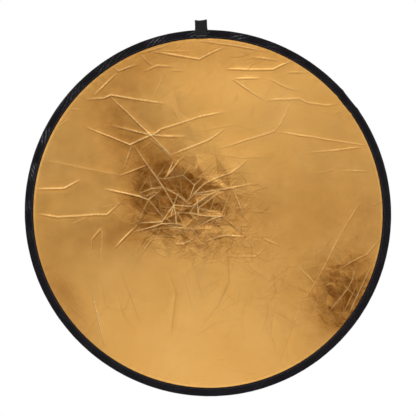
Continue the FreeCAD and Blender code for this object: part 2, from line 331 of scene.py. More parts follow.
def tape_material():
    """Black satin-faced binding tape: a close rib across it, with highlights painted on its pleats."""
    nodes = Surface("binding_tape", Sheen_Weight=0.02, Sheen_Roughness=0.4, Specular_IOR_Level=0.07)
    place = nodes.uv()
    tone = nodes.patches(place, 60.0, 0.0, 1.0, detail=4.0)
    base = nodes.mix(tone, (0.0028, 0.0022, 0.0032), (0.006, 0.005, 0.007))
    # Highlights painted on the pleats' crests, broken up by noise.
    painted_glint = nodes.add("Attribute", attribute_name="painted_pleat_glint").outputs["Fac"]
    patchiness = nodes.spread(nodes.noise(place, 300.0), 0.4, 0.62, 0.1, 1.0)
    base = nodes.mix(nodes.maths("MULTIPLY", painted_glint, patchiness), base, (0.16, 0.155, 0.175))
    fluff = nodes.spread(nodes.noise(place, 700.0, detail=2.0), 0.62, 0.8, 0.0, 0.4)
    nodes.colour(nodes.mix(fluff, base, (0.025, 0.024, 0.028)))
    nodes.roughness(nodes.patches(place, 90.0, 0.28, 0.4))
    rib = nodes.wave(place, 420.0, "X", distortion=0.4)
    threads = nodes.wave(place, 900.0, "Y")
    rumple = nodes.noise(nodes.uv(1.0, 0.6), 160.0)
    nodes.bump([(rumple, 0.5, 0.35 * MM), (rib, 0.3, 0.08 * MM), (threads, 0.2, 0.04 * MM)])
    return nodes.material


def webbing_material():
    """Matt black webbing: warp ribs along it, and a weft that shows between them."""
    nodes = Surface("webbing", Sheen_Weight=0.04, Sheen_Roughness=0.5, Specular_IOR_Level=0.12)
    place = nodes.uv()
    tone = nodes.patches(place, 250.0, 0.0, 1.0)
    nodes.colour(nodes.mix(tone, (0.004, 0.004, 0.005), (0.012, 0.012, 0.013)))
    nodes.roughness(nodes.patches(place, 400.0, 0.7, 0.9))
    fibres = nodes.noise(nodes.uv(1.0, 0.25), 2500.0, detail=2.0)
    nodes.bump([(fibres, 0.4, 0.08 * MM)])
    return nodes.material


def thread_material():
    """Twisted black polyester thread."""
    nodes = Surface("thread", Sheen_Weight=0.2)
    place = nodes.uv()
    nodes.colour(nodes.mix(nodes.noise(place, 500.0), (0.016, 0.015, 0.017), (0.04, 0.038, 0.042)))
    nodes.roughness(nodes.patches(place, 300.0, 0.45, 0.65))
    twist = nodes.wave(place, 600.0, "DIAGONAL")
    nodes.bump([(twist, 0.5, 0.08 * MM)])
    return nodes.material


def steel_material(name, pale, deep, roughness):
    """Rolled steel: fine lines along the strip, and a tone that is a little uneven."""
    nodes = Surface(name, Metallic=1.0)
    lines = nodes.noise(nodes.uv(0.02, 1.0), 3000.0, detail=2.0)
    nodes.colour(nodes.mix(nodes.patches(nodes.uv(), 40.0, 0.0, 1.0), pale, deep))
    nodes.roughness(nodes.spread(lines, 0.3, 0.7, roughness - 0.06, roughness + 0.08))
    nodes.bump([(lines, 0.3, 0.02 * MM)])
    return nodes.material


def shrink_tube_material():
    """Black shrink tube, slightly wrinkled."""
    nodes = Surface("wrap_plastic")
    place = nodes.uv()
    nodes.colour(nodes.mix(nodes.noise(place, 150.0), (0.012, 0.012, 0.012), (0.03, 0.03, 0.03)))
    nodes.roughness(nodes.patches(place, 220.0, 0.4, 0.6))
    nodes.bump([(nodes.noise(place, 260.0, detail=4.0), 0.4, 0.1 * MM)])
    return nodes.material


# ------------------------------------------------------------------ the creased cloths

# Creases of the cloths, in millimetres from the disc's centre, to the right and up, with the disc
# turned as it is in the camera's view. Each one is a run of straight folds.
LONG_CREASES = [
    [(-197, 186), (-170, 188), (-158, 193), (-75, 180)],
    [(-158, 189), (-121, 154), (-93, 127), (-58, 92)],
    [(-185, 193), (-150, 227)],
    [(-197, 140), (-128, 112), (-84, 132), (-76, 138), (-14, 158), (23, 165)],
    [(-121, 110), (-74, 44), (-56, 13), (-27, 11), (2, 30), (18, 37)],
    [(-279, 40), (-235, 41), (-211, 54)],
    [(-169, 40), (-114, 28), (-97, 22), (-83, 33)],
    [(-156, 143), (-98, 129), (-66, 126), (-38, 126)],
    [(-60, 96), (1, 120), (26, 137)],
    [(-102, 233), (-84, 241), (-60, 240)],
    [(-89, 264), (-14, 252), (2, 261), (27, 272)],
    [(31, 236), (66, 235), (107, 236), (137, 250)],
    [(98, 185), (129, 187), (150, 188), (165, 181), (195, 177), (210, 180)],
    [(134, 177), (118, 147), (110, 135), (82, 126), (39, 112), (21, 107)],
    [(114, 134), (190, 122), (249, 113), (258, 112)],
    [(-34, 19), (-23, 32), (-6, 48), (17, 59), (39, 67), (63, 86)],
    [(-276, -1), (-246, -6), (-210, -4), (-186, -2), (-165, -2), (-144, 17)],
    [(-152, -56), (-129, -32), (-116, -20)],
    [(-120, -30), (-75, -17), (-53, -17)],
    [(248, 15), (227, -17), (207, -52), (190, -87), (178, -108)],
    [(242, -87), (236, -108), (229, -122), (198, -160)],
    [(269, -83), (250, -121), (232, -160), (223, -177)],
]
SHORT_CREASES = [
    [(-110, 259), (-93, 242)], [(-154, 238), (-146, 232), (-116, 243)], [(-112, 261), (-66, 275)],
    [(-57, 233), (-43, 233)], [(-242, 143), (-229, 152)], [(-223, 170), (-211, 169)],
    [(-108, 106), (-93, 117)], [(-95, 123), (-79, 110), (-56, 86)], [(-124, 113), (-137, 75)],
    [(-13, 282), (19, 278), (62, 272), (90, 267)], [(74, 256), (114, 251)], [(64, 235), (74, 246)],
    [(131, 231), (164, 232)], [(41, 219), (57, 208), (90, 187)], [(45, 220), (84, 221)],
    [(102, 220), (130, 206), (146, 202)], [(170, 100), (221, 105), (253, 109)],
    [(223, 70), (263, 69)], [(181, 66), (207, 72)], [(271, 14), (284, 20)], [(211, 165), (219, 168)],
    [(-72, 56), (-63, 66), (-47, 87), (-40, 92)], [(-68, 60), (-56, 86)],
    [(-34, 19), (-22, 46), (-6, 60)], [(-23, 32), (35, 41), (70, 48)], [(39, 41), (31, 20), (23, -4)],
    [(39, 41), (51, 15), (63, -13)], [(-50, 1), (-29, 0), (1, -5), (23, -5), (10, -8), (-25, -26)],
    [(-15, 8), (3, 3), (25, 3)], [(25, -5), (26, -20), (31, -42)], [(25, -7), (50, -27), (60, -36)],
    [(1, -43), (28, -36), (60, -38)], [(-53, -50), (-40, -50), (-26, -43)],
    [(-111, -16), (-75, -14), (-56, 13), (-53, -1), (-51, -17), (-48, -29)],
    [(-78, -25), (-53, -23), (-25, -25)], [(-83, -36), (-56, -38)], [(-86, -36), (-109, -65)],
    [(-111, 33), (-92, 40), (-76, 41)], [(-18, 30), (-16, -11)], [(-15, 9), (13, 30), (26, 35)],
    [(-37, -22), (-23, -8)], [(1, -41), (13, -16)], [(45, -10), (44, 0), (48, 9)],
    [(44, -70), (77, -70), (93, -57)], [(64, -42), (72, -52)], [(57, 6), (67, 16)],
    [(-20, 94), (-20, 70)], [(-75, 44), (-50, 30), (-29, 12)], [(-96, 62), (-111, 38)],
    [(-220, -16), (-197, -5)], [(-171, 10), (-144, 17)], [(88, -39), (117, -52)], [(-2, -79), (15, -77)],
    [(-176, -86), (-173, -32), (-176, -26), (-190, -43), (-191, -67)], [(-190, -131), (-171, -214)],
    [(144, -81), (175, -117)], [(179, -106), (160, -137)], [(215, -106), (227, -123), (246, -140)],
    [(67, -41), (72, -52), (79, -67)], [(-8, -57), (-5, -80)], [(-143, 62), (-101, 78)],
    [(282, -41), (259, -67), (232, -81), (215, -92)], [(221, -162), (231, -142), (243, -118)],
    [(223, -177), (240, -155), (252, -134)],
]
FAINT_CREASES = [
    [(-89, 266), (-32, 265)], [(-68, 234), (-91, 186)], [(-68, 182), (-78, 148)],
    [(-13, 46), (39, 68)], [(3, 99), (56, 91), (100, 93)], [(-13, 135), (50, 147)],
    [(219, 141), (235, 127)], [(-262, 86), (-143, 62)], [(-258, -69), (-228, -121), (-206, -167)],
    [(-247, -132), (-222, -156), (-199, -178)],
]
SOFT_VALLEYS = [
    [(-143, -94), (-129, -132), (-112, -178)], [(-147, -139), (-138, -168), (-120, -190)],
    [(158, -137), (138, -190), (117, -242)], [(138, -150), (117, -165)], [(106, -165), (104, -198)],
    [(29, -37), (33, -75), (35, -112), (14, -156)], [(94, -117), (138, -85)], [(65, -85), (94, -106)],
    [(167, -200), (165, -223)], [(-66, -90), (-52, -130), (-60, -200)], [(-20, -100), (-8, -140)],
    [(-176, -110), (-168, -150)], [(120, -110), (160, -128), (190, -150)],
]

# The kinds of crease: their places, how sharp and how broad they stand in millimetres, how much worn
# coating and painted highlight they show, and how much shade is painted along them.
CREASE_KINDS = [
    (LONG_CREASES, 0.38, 0.35, 1.1, 0.0),
    (SHORT_CREASES, 0.33, 0.3, 0.95, 0.0),
    (FAINT_CREASES, 0.13, 0.17, 0.3, 0.0),
    (SOFT_VALLEYS, -0.08, -0.2, 0.0, 0.22),
]


def disc_grid(count):
    """Even quads over a round: a square grid of points pushed out to a circle of radius 1."""
    step = np.linspace(-1, 1, count + 1)
    across, up = np.meshgrid(step, step, indexing="ij")
    wide = np.abs(across) > np.abs(up)
    with np.errstate(divide="ignore", invalid="ignore"):
        angle = np.where(wide, math.pi / 4 * up / across, math.pi / 2 - math.pi / 4 * across / up)
    angle = np.nan_to_num(angle)
    radius = np.where(wide, across, up)
    return radius * np.cos(angle), radius * np.sin(angle)


def turned_back(points):
    """Crease points as metres in the disc's own frame, where the loop is straight above."""
    points = np.asarray(points, float) * MM
    cosine, sine = math.cos(-LEAN), math.sin(-LEAN)
    return np.stack([points[..., 0] * cosine - points[..., 1] * sine,
                     points[..., 0] * sine + points[..., 1] * cosine], axis=-1)


def arrow(angle):
    """The direction at an angle above level, to the right."""
    return np.array((math.cos(angle), math.sin(angle)))


def ridge(x, z, path, heights, half_width):
    """How high a sharp-topped ridge stands at each point; it runs along a path of places."""
    tall = np.zeros_like(x)
    for start, end, low, high in zip(path[:-1], path[1:], heights[:-1], heights[1:]):
        ahead = end - start
        share = ((x - start[0]) * ahead[0] + (z - start[1]) * ahead[1]) / max(ahead @ ahead, 1e-12)
        share = np.clip(share, 0, 1)
        away = np.hypot(x - start[0] - share * ahead[0], z - start[1] - share * ahead[1])
        height = low + (high - low) * share
        tall = np.maximum(tall, height * np.clip(1 - away / half_width, 0, 1))
    return tall


class ClothShape:
    """The two cloths' relief, which they share as they lie together.

    relief is how far each point stands forward, creased is how sharply it is folded and how pale it is
    painted, as worn coating and a highlight, which shows fully at 1, and the painted shade is how much
    shade and dark reflection is painted on it, from 0 to 1.
    """

    def __init__(self, x, z, seed):
        self.x, self.z = x, z
        self.relief = np.zeros_like(x)
        self.creased = np.zeros_like(x)
        self.painted_shade = np.zeros_like(x)
        self.chance = np.random.default_rng(seed)

    def near(self, places, reach):
        """The numbers of the points that are inside the places' box, or this close to it."""
        low, high = places.min(axis=0) - reach, places.max(axis=0) + reach
        inside = (self.x > low[0]) & (self.x < high[0]) & (self.z > low[1]) & (self.z < high[1])
        return np.nonzero(inside)[0]

    def uneven_path(self, corners):
        """Cut a run of folds into short steps that stray a little sideways, as real creases do."""
        places = [corners[0]]
        for start, end in zip(corners[:-1], corners[1:]):
            ahead = end - start
            length = math.hypot(*ahead)
            steps = max(1, round(length / (19 * MM)))
            sideways = np.array((-ahead[1], ahead[0])) / length
            for step in range(1, steps + 1):
                stray = self.chance.normal(0, 0.35 * MM) if step < steps else 0.0
                places.append(start + ahead * step / steps + sideways * stray)
        return np.array(places)

    def fold(self, corners, sharp, broad, wear_and_highlight, valley_shade):
        """One crease: a sharp ridge on top of a broad one, uneven, and fading at its ends.

        A narrow dip runs along its lower side, with shade painted in it. With a sharp below 0 the crease
        is itself a dip, with shade painted along it instead of worn coating and a painted highlight.
        """
        path = self.uneven_path(corners)
        passed = np.concatenate([[0], np.cumsum(np.linalg.norm(np.diff(path, axis=0), axis=1))])
        from_end = np.minimum(passed, passed[-1] - passed)
        fading = smooth((from_end + 4 * MM) / (9 * MM)) * self.chance.uniform(0.7, 1.0, len(path))
        wide = self.chance.uniform(7, 15) * MM
        near = self.near(path, wide)
        x, z = self.x[near], self.z[near]
        narrow = ridge(x, z, path, fading, self.chance.uniform(1.1, 1.4) * MM)
        gentle = ridge(x, z, path, fading, wide) ** 1.5
        dip = ridge(x, z, path - (0, 2.1 * MM), fading, 1.9 * MM) * (sharp > 0)
        self.relief[near] += sharp * (narrow - 0.5 * dip) + broad * gentle
        # Pale along the crease: worn coating and a painted highlight.
        self.creased[near] = np.maximum(self.creased[near], wear_and_highlight * narrow)
        # Painted shade in the dip beside the crease, or along a crease that is itself a dip.
        self.painted_shade[near] += np.maximum(valley_shade * narrow, 0.5 * wear_and_highlight * dip)

    def scatter(self, middle, reach, count, lengths, height, wear_and_highlight, lying, valley_shade):
        """Fine short creases inside an oval; the smaller lying is, the more level they run.

        Two in five are dips, with shade painted along them.
        """
        for _ in range(count):
            far, turn = math.sqrt(self.chance.uniform()), self.chance.uniform(0, 2 * math.pi)
            spot = turned_back(middle) + np.array(reach) * MM * far * arrow(turn)
            angle = self.chance.normal(0.3, lying)
            bent = angle + self.chance.normal(0, 0.35)
            half = self.chance.uniform(*lengths) * MM / 2
            corners = [spot - half * arrow(angle), spot, spot + half * arrow(bent)]
            strength = self.chance.uniform(0.4, 1.0) * (1 - 0.4 * far)
            if self.chance.uniform() < 0.4:
                height_here, wear_and_highlight_here, valley_shade_here = -0.6 * height, 0.0, valley_shade
            else:
                height_here, wear_and_highlight_here, valley_shade_here = height, wear_and_highlight, 0.0
            self.fold(np.array(corners), strength * height_here, strength * height_here * 0.6,
                      strength * wear_and_highlight_here, strength * valley_shade_here)

    def facet_corners(self, middle, reach, spacing, lines):
        """Join scattered places in an oval, and the corners of the lines, into triangles."""
        counts = np.ceil(2 * reach / spacing).astype(int) + 1
        columns, rows = np.meshgrid(np.linspace(-1, 1, counts[0]), np.linspace(-1, 1, counts[1]))
        spots = np.stack([columns.ravel(), rows.ravel()], axis=-1) * reach * 1.1 + middle
        spots += self.chance.uniform(-0.5, 0.5, spots.shape) * spacing
        spots = [Vector(spot) for spot in spots]
        joins = []
        for line in lines:
            corners = turned_back(line)
            joins += [(len(spots) + step, len(spots) + step + 1) for step in range(len(corners) - 1)]
            spots += [Vector(corner) for corner in corners]
        return delaunay_2d_cdt(spots, joins, [], 0, 1e-6)[:3]

    def lay_facet(self, corners, tops):
        """The points in a triangle, how high each stands, and the slope to the right and up."""
        a, b, c = corners
        near = self.near(corners, 0.0)
        x, z = self.x[near], self.z[near]
        area = (b[0] - a[0]) * (c[1] - a[1]) - (c[0] - a[0]) * (b[1] - a[1])
        share_b = ((x - a[0]) * (c[1] - a[1]) - (z - a[1]) * (c[0] - a[0])) / area
        share_c = ((z - a[1]) * (b[0] - a[0]) - (x - a[0]) * (b[1] - a[1])) / area
        share_a = 1 - share_b - share_c
        inside = (share_a > -1e-6) & (share_b > -1e-6) & (share_c > -1e-6)
        tall = share_a * tops[0] + share_b * tops[1] + share_c * tops[2]
        rise_b, rise_c = tops[1] - tops[0], tops[2] - tops[0]
        rise_right = (rise_b * (c[1] - a[1]) - rise_c * (b[1] - a[1])) / area
        rise_up = (rise_c * (b[0] - a[0]) - rise_b * (c[0] - a[0])) / area
        return near[inside], tall[inside], rise_right, rise_up

    def raised_edges(self, points, edges):
        """Ridges of up to 1 along half of the edges, chosen by chance."""
        crests = np.zeros_like(self.x)
        for first, last in edges:
            if self.chance.uniform() < 0.5:
                path = points[[first, last]]
                near = self.near(path, 2 * MM)
                strength = self.chance.uniform(0.3, 1.0)
                tall = ridge(self.x[near], self.z[near], path, (strength, strength), 1.6 * MM)
                crests[near] = np.maximum(crests[near], tall)
        return crests

    def crumple(self, middle, reach, spacing, height, grain, crest=0.0, lines=(), power=1.0,
                facet_shade=0.0):
        """Flat facets inside an oval: a surface through scattered points, folded along the lines.

        The facets' corners stand up and down by height, unevenly at the scale of the grain, and
        some of the edges between them are raised by up to crest and painted pale. Shade is painted on
        the facets by the way they face, most on those that face down, by up to the facet shade.
        """
        middle, reach = turned_back(middle), np.asarray(reach) * MM
        points, edges, triangles = self.facet_corners(middle, reach, spacing * MM, lines)
        shift = self.chance.uniform(0, 100)
        tops = [noise.noise(Vector((*point / (grain * MM), shift))) for point in points]
        tops = np.array(tops) * height * MM * 1.6
        points = np.array([tuple(point) for point in points])
        facets, shades = np.zeros_like(self.x), np.zeros_like(self.x)
        for triangle in triangles:
            inside, tall, rise_right, rise_up = self.lay_facet(points[triangle], tops[triangle])
            facets[inside] = tall
            # Shade painted on each facet by the way it faces, most on those that face down.
            steepness = (0.4 * rise_right + 0.9 * rise_up) * spacing / height
            shades[inside] = min(max(0.4 + 0.6 * steepness, 0), 1)
        far = np.hypot((self.x - middle[0]) / reach[0], (self.z - middle[1]) / reach[1])
        fade = smooth(1.25 * (1 - far)) ** power
        self.relief += facets * fade
        self.painted_shade += facet_shade * fade * shades
        # Raised edges are painted pale too, as worn coating and a painted highlight.
        if crest:
            crests = fade * self.raised_edges(points, edges)
            self.relief += crest * MM * crests
            np.maximum(self.creased, min(3.5 * crest, 0.7) * crests, out=self.creased)

    def swell(self, middle, reach, turn):
        """A soft round bump of height 1, whose longer reach is turned from level by an angle."""
        middle = turned_back(middle)
        across, up = self.x - middle[0], self.z - middle[1]
        cosine, sine = math.cos(math.radians(turn)), math.sin(math.radians(turn))
        far = np.hypot((across * cosine + up * sine) / (reach[0] * MM),
                       (up * cosine - across * sine) / (reach[1] * MM))
        return np.exp(-far ** 2)


# Where dark reflections and shade are painted on the cloths, broad and soft: middle, reach and turn,
# in millimetres and degrees, and the amount.
PAINTED_SHADE_PLACES = [
    ((-62, 60), (46, 28), -45, 0.65),
    ((-30, 42), (40, 20), -20, 0.35),
    ((-105, 34), (36, 46), 15, 0.5),
    ((-45, 12), (50, 36), 0, 0.15),
    ((-25, 2), (90, 36), 0, 0.25),
    ((90, 8), (35, 42), 0, 0.15),
    ((45, -58), (60, 24), 0, 0.14),
    ((-132, 122), (90, 50), -50, 0.5),
    ((-128, 225), (75, 38), 32, 0.28),
    ((0, 262), (190, 36), 0, 0.26),
    ((-175, -40), (85, 32), 0, 0.3),
    ((-215, 75), (60, 50), 0, 0.1),
    ((-132, -25), (60, 40), 0, 0.2),
    ((222, -138), (38, 50), 20, 0.55),
    ((245, -95), (24, 60), 20, 0.2),
    ((160, -115), (60, 55), 0, 0.1),
    ((205, -180), (60, 28), 49, 0.3),
    ((262, -30), (30, 75), 0, 0.2),
    ((190, 5), (110, 60), 0, 0.24),
    ((200, 105), (80, 50), 0, 0.1),
    ((-238, -128), (22, 52), 38, 0.4),
    ((-262, -60), (30, 60), 10, 0.12),
    ((-210, -190), (60, 22), -47, 0.2),
]

# Fine creases, scattered in ovals: middle, reach, how many, their lengths, their height in
# millimetres, how much worn coating and painted highlight they show, how much their directions vary,
# and how much shade is painted along their dips.
FINE_CREASES = [
    ((-25, 5), (125, 80), 230, (10, 45), 0.24, 0.7, 0.75, 0.6),
    ((35, -5), (50, 60), 50, (10, 35), 0.2, 0.5, 1.6, 0.6),
    ((5, -38), (75, 28), 60, (10, 40), 0.2, 0.6, 0.75, 0.7),
    ((228, -120), (60, 85), 70, (12, 40), 0.16, 0.33, 1.2, 0.6),
    ((150, -130), (110, 90), 70, (12, 50), 0.12, 0.35, 1.6, 0.32),
    ((0, 140), (230, 115), 90, (12, 50), 0.09, 0.3, 1.2, 0.2),
    ((-75, 75), (80, 60), 50, (12, 45), 0.14, 0.4, 1.2, 0.3),
    ((0, 262), (150, 22), 26, (12, 40), 0.16, 0.5, 0.4, 0.6),
    ((10, -140), (230, 120), 100, (20, 90), 0.09, 0.2, 1.6, 0.2),
    ((48, -56), (64, 28), 60, (10, 36), 0.2, 0.6, 0.9, 0.5),
]

# Broad swells of the cloth: middle, reach, turn and height, in millimetres and degrees.
SWELLS = [
    ((-120, 120), (120, 60), -48, -2.6),
    ((70, 200), (130, 70), 0, 1.6),
    ((190, 20), (110, 60), 5, -1.6),
    ((0, -150), (190, 90), 0, 1.4),
    ((-230, 20), (60, 120), 0, -1.0),
    ((250, -130), (45, 80), 20, -1.8),
]


def shape_cloth(x, z):
    """The folded shape of both cloths, with their painted shade and dark reflections."""
    cloth = ClothShape(x, z, seed=7)
    folds = LONG_CREASES + SHORT_CREASES
    for middle, reach, turn, height in SWELLS:
        cloth.relief += height * MM * cloth.swell(middle, reach, turn)
    cloth.crumple((0, 0), (330, 330), spacing=62, height=0.7, grain=70, lines=folds, power=0.5)
    # These broad shapes die away well before the rim, where the hoop holds the cloth flat.
    cloth.relief *= smooth((INNER_EDGE - np.hypot(x, z)) / (75 * MM))
    # Painted shade and dark reflections, laid in broad soft patches.
    for middle, reach, turn, amount in PAINTED_SHADE_PLACES:
        cloth.painted_shade += amount * cloth.swell(middle, reach, turn)
    # Crumpled most in the middle and at the lower right: large facets, and small ones on them.
    cloth.crumple((-37, 18), (135, 105), spacing=24, height=2.2, grain=26, crest=0.2, lines=folds,
                  facet_shade=0.55)
    cloth.crumple((-30, 8), (130, 100), spacing=12, height=0.6, grain=13, crest=0.1, facet_shade=0.55)
    cloth.crumple((222, -126), (80, 95), spacing=15, height=1.0, grain=20, crest=0.1, lines=folds,
                  facet_shade=0.45)
    cloth.crumple((222, -130), (75, 90), spacing=9, height=0.4, grain=10, crest=0.05, facet_shade=0.45)
    # Gentler facets beside those, at the upper left, and very faint ones over the rest.
    cloth.crumple((150, -130), (125, 100), spacing=20, height=0.4, grain=22, facet_shade=0.2)
    cloth.crumple((-90, 150), (120, 110), spacing=26, height=0.4, grain=26, facet_shade=0.1)
    cloth.crumple((40, 60), (260, 230), spacing=28, height=0.14, grain=30, power=0.5)
    for lines, sharp, broad, wear_and_highlight, valley_shade in CREASE_KINDS:
        for line in lines:
            corners = turned_back(line)
            # The cloth is folded hardest on the left.
            hardest = min(max(1.05 - corners[:, 0].mean() / (550 * MM), 0.7), 1.2)
            strength = cloth.chance.uniform(0.8, 1.15) * hardest
            cloth.fold(corners, sharp * MM * strength, broad * MM * strength,
                       wear_and_highlight * strength, valley_shade * strength)
    for middle, reach, count, lengths, height, wear_and_highlight, lying, valley_shade in FINE_CREASES:
        cloth.scatter(middle, reach, count, lengths, height * MM, wear_and_highlight, lying, valley_shade)
    cloth.painted_shade = np.clip(cloth.painted_shade, 0, 1)
    return cloth


def make_cloth(name, side, count, material):
    """One of the two cloths. Both follow the same creases, a thickness apart."""
    across, up = disc_grid(count)
    radius = np.hypot(across, up) * CLOTH_RADIUS
    angle = np.arctan2(up, across)
    radius, angle = radius.ravel(), angle.ravel()
    x, z = radius * np.cos(angle), radius * np.sin(angle)
    shape = shape_cloth(x, z)
    # Near the rim the relief dies away, and the seam's small puckers take over.
    from_rim = INNER_EDGE - radius
    free = smooth((from_rim - 1.5 * MM) / (17 * MM))
    puckers = wander(angle, 90, 41) * np.exp(-np.abs(from_rim - 4 * MM) / (5 * MM))
    puckers *= smooth(from_rim / (3 * MM))
    tucked = smooth((4 * MM - from_rim) / (4 * MM))
    offset = CLOTH_OUTSIDE * (1 - 0.45 * tucked)
    y = -side * offset - shape.relief * free - 0.05 * MM * puckers
    points = on_disc(radius, angle, y)
    faces = grid_faces(count + 1, count + 1)
    if side < 0:
        faces = faces[:, ::-1]
    cloth = make_mesh(name, points, faces, uv=np.stack([x, z], axis=-1))
    # The pale of worn coating and painted highlight along the creases.
    add_number(cloth, "crease", shape.creased * smooth(from_rim / (6 * MM)))
    # The painted shade, for the material to mix in.
    add_number(cloth, "painted_shade", shape.painted_shade)
    cloth.data.materials.append(material)
    return cloth


# ------------------------------------------------------------------ binding

def flap_slope():
    """The angle between the disc's plane and the tape's flap, which touches the nose."""
    reach = math.hypot(NOSE_CENTRE - INNER_EDGE, FLAP_OFFSET)
    rise = math.atan2(FLAP_OFFSET, NOSE_CENTRE - INNER_EDGE)
    return math.asin(NOSE / reach) - rise


def rim_surface(radius):
    """Half of the rim's thickness at a radius on the flap."""
    return FLAP_OFFSET + (radius - INNER_EDGE) * math.tan(flap_slope())


def tape_section(flap_count, nose_count):
    """The tape's outer face in section, from its front edge round the nose to its back edge.

    Gives the radius and the depth of each point, its outward direction, and its distance along
    the tape from the middle of the nose, which is negative in front.
    """
    slope = flap_slope()
    touch = math.pi / 2 + slope
    flap = np.linspace(0, 1, flap_count, endpoint=False)
    touch_radius = NOSE_CENTRE + NOSE * math.cos(touch)
    touch_depth = NOSE * math.sin(touch)
    flap_radius = INNER_EDGE + flap * (touch_radius - INNER_EDGE)
    flap_depth = FLAP_OFFSET + flap * (touch_depth - FLAP_OFFSET)
    turn = np.linspace(touch, -touch, nose_count)
    radius = np.concatenate([flap_radius, NOSE_CENTRE + NOSE * np.cos(turn), flap_radius[::-1]])
    depth = np.concatenate([flap_depth, NOSE * np.sin(turn), -flap_depth[::-1]])
    out = np.concatenate([np.full(flap_count, touch), turn, np.full(flap_count, -touch)])
    step = np.hypot(np.diff(radius), np.diff(depth))
    along = np.concatenate([[0], np.cumsum(step)])
    return radius, -depth, np.cos(out), -np.sin(out), along - along[-1] / 2


def tape_relief(turns, radius, along):
    """How far the tape's face stands out, and how strongly a highlight is painted on its pleats, from 0
    to 1.
    """
    seam_dip, bulge, lip_wave, flap_wave = 0.3 * MM, 0.2 * MM, 0.16 * MM, 0.05 * MM
    side = np.where(along < 0, 0.0, 2.1)  # the back's waves are out of step with the front's
    from_seam = radius - SEAM_RADIUS
    pinch = np.exp(-(from_seam / (0.9 * MM)) ** 2)
    lip = np.clip(1 - (radius - INNER_EDGE) / (1.8 * MM), 0, 1)
    full = smooth(from_seam / (3 * MM)) * smooth((NOSE_CENTRE - radius + 2.5 * MM) / (5 * MM))
    skewed = PLEATS * turns + along / PLEAT_STEP + 4.5 * wander(turns, 18, 3) + side
    pleats = np.sin(skewed + 0.7 * np.sin(skewed + 0.6))
    folds = pleats * np.clip(0.55 + 0.7 * wander(turns + side, 24, 4), 0.15, 1.2)
    push = PLEAT_HEIGHT * full * folds - seam_dip * pinch * (1 + 0.35 * np.sin(STITCHES * turns + side))
    push += bulge * full * wander(turns + 0.3 * side, 70, 5)
    push += lip_wave * lip * wander(turns + side, 160, 6)
    push += flap_wave * (1 - full) * np.sin(skewed * 0.5)
    # The painted highlight is strongest round one angle at the upper left, and faint elsewhere.
    most = 0.08 + 0.92 * smooth(1.8 * np.cos(turns - GLINT_CENTRE) - 0.7)
    return push, most * full * np.clip(2.0 * folds - 0.8, 0, 1)


def make_binding(material):
    """The binding tape: puckered by its seam, full over the hoop, and wavy at its inner edges."""
    around, flap_count, nose_count = 1500, 11, 13
    turns = np.linspace(0, 2 * math.pi, around, endpoint=False)[:, None]
    radius, depth, out_radius, out_depth, along = tape_section(flap_count, nose_count)
    push, painted_glint = tape_relief(turns, radius, along)
    outer = on_disc(radius + push * out_radius, turns, depth + push * out_depth)
    inset = push - TAPE
    inner = on_disc(radius + inset * out_radius, turns, depth + inset * out_depth)
    points = np.concatenate([outer, inner[:, ::-1]], axis=1)
    uv = np.stack(np.broadcast_arrays(turns * RADIUS, along), axis=-1)
    uv = np.concatenate([uv, uv[:, ::-1]], axis=1)
    faces = grid_faces(around, points.shape[1], closed_rows=True, closed_columns=True)
    tape = make_mesh("binding", points, faces, uv=uv)
    # Highlights painted on the pleats' crests, on the tape's outer face only.
    add_number(tape, "painted_pleat_glint", np.concatenate([painted_glint, 0 * painted_glint], axis=1))
    tape.data.materials.append(material)
    return tape


# ------------------------------------------------------------------ sewing thread

def stitch_template(sides=8, rings=7):
    """One stitch along +X, 1 long and 1 thick: a short thread whose ends dive into the cloth."""
    place = np.linspace(-0.5, 0.5, rings)
    thick = 0.5 * np.sqrt(np.clip(1 - (np.abs(place) / 0.53) ** 5, 0, 1))
    turn = np.linspace(0, 2 * math.pi, sides, endpoint=False)
    dive = -1.4 * np.abs(place * 2) ** 3
    points = np.zeros((rings, sides, 3))
    points[:, :, 0] = place[:, None]
    points[:, :, 1] = thick[:, None] * np.cos(turn)
    points[:, :, 2] = thick[:, None] * np.sin(turn) + dive[:, None]
    return points.reshape(-1, 3), capped_faces(rings, sides)


def many_stitches(name, middles, along, outward, length, thick, material):
    """A row of stitches as one piece: a copy of the template at each place."""
    shape, shape_faces = stitch_template()
    along = unit(along)
    outward = unit(outward - (outward * along).sum(1, keepdims=True) * along)
    sideways = np.cross(outward, along)
    stretched = length[:, None] * shape[:, 0]
    points = (middles[:, None] + stretched[..., None] * along[:, None]
              + thick * shape[:, 1:2] * sideways[:, None]
              + thick * shape[:, 2:] * outward[:, None])
    starts = np.arange(len(middles)) * len(shape)
    faces = [[start + corner for corner in face] for start in starts.tolist()
             for face in shape_faces]
    passed = (np.arange(len(middles)) * length)[:, None] + stretched
    uv = np.stack(np.broadcast_arrays(passed, thick * shape[:, 1]), axis=-1)
    row = make_mesh(name, points, faces, uv=uv)
    row.data.materials.append(material)
    return row


def make_seam(name, side, material, seed):
    """The row of lockstitches round one face of the rim."""
    chance = np.random.default_rng(seed)
    angle = (np.arange(STITCHES) + 0.5) / STITCHES * 2 * math.pi
    slope = flap_slope()
    depth = np.full(STITCHES, -side * (rim_surface(SEAM_RADIUS) - 0.12 * MM))
    radius = SEAM_RADIUS + chance.normal(0, 0.08 * MM, STITCHES)
    middles = on_disc(radius, angle, depth)
    ahead = on_disc(radius, angle + 0.002, depth)
    radial = np.stack([np.cos(angle), 0 * angle, np.sin(angle)], axis=-1)
    outward = np.array([0, -side, 0]) * math.cos(slope) - radial * math.sin(slope)
    along = unit(ahead - middles) + radial * 0.1
    pitch = 2 * math.pi * SEAM_RADIUS / STITCHES
    length = 0.84 * pitch * chance.uniform(0.94, 1.04, STITCHES)
    return many_stitches(name, middles, along, outward, length, 2 * THREAD, material)


# ------------------------------------------------------------------ hanging loop

